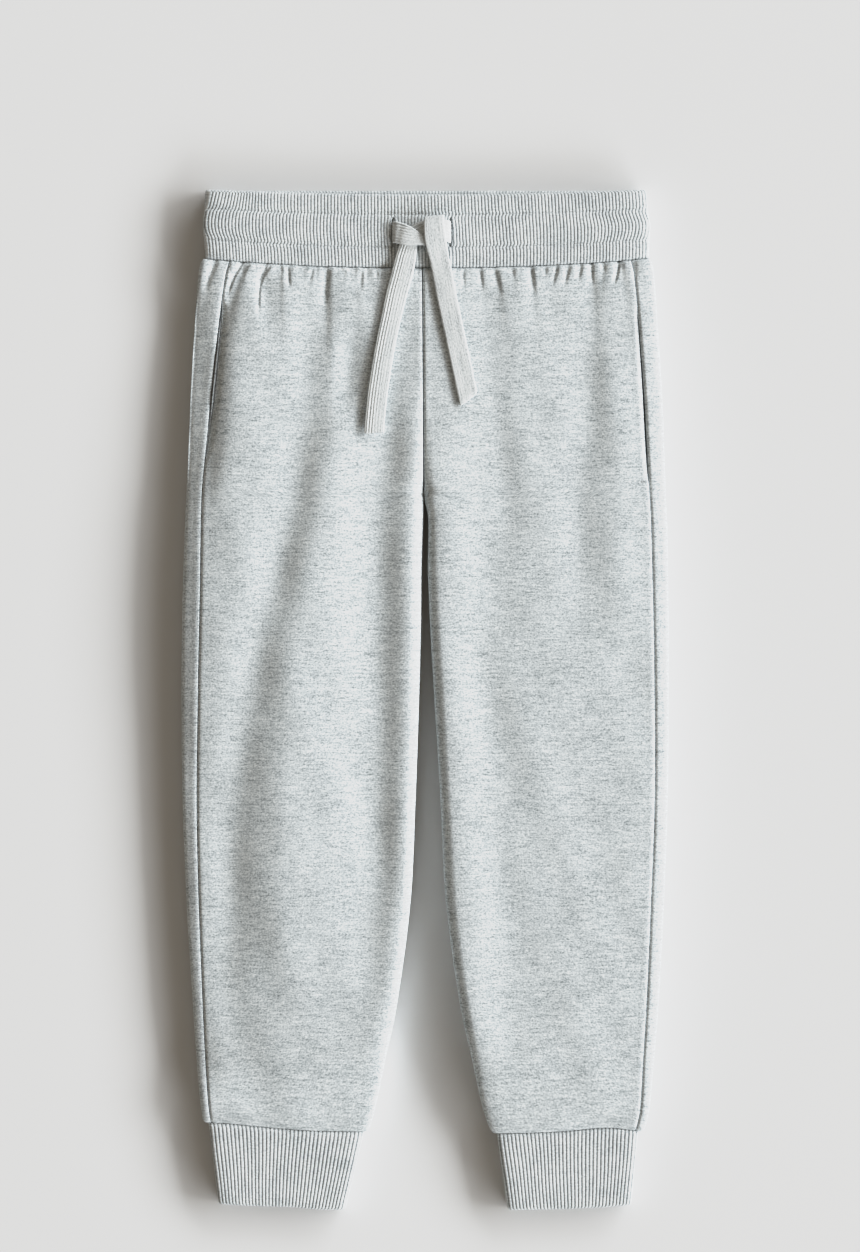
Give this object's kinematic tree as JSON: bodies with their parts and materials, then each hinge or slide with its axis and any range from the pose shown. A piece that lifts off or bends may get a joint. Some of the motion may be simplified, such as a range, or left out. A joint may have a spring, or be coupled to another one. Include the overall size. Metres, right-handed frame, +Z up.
{
  "type": "jogger sweatpants",
  "caption": "Child's jogger sweatpants lying flat, with a ribbed waistband and cuffs, side pockets and a flat drawstring in a half knot.",
  "frame": {"origin": "middle of the footprint of the garment, on the surface that it lies on", "axes": "+Y towards the waist, +Z up from the surface through the front, +X to the viewer's right when looking down on the front"},
  "size_m": [0.2955, 0.62, 0.0218],
  "materials": {
    "jersey": "heather grey sweat jersey",
    "rib": "heather grey knitted rib",
    "tape": "flat knitted tape",
    "pocketing": "thin grey jersey"
  },
  "bodies": {
    "root": {"waistband": "rib", "front_left": "jersey", "front_right": "jersey", "back_left": "jersey", "back_right": "jersey", "pocket_left": "pocketing", "pocket_right": "pocketing", "cuff_left": "rib", "cuff_right": "rib", "drawstring_left": "tape", "drawstring_right": "tape"}
  },
  "joints": []
}
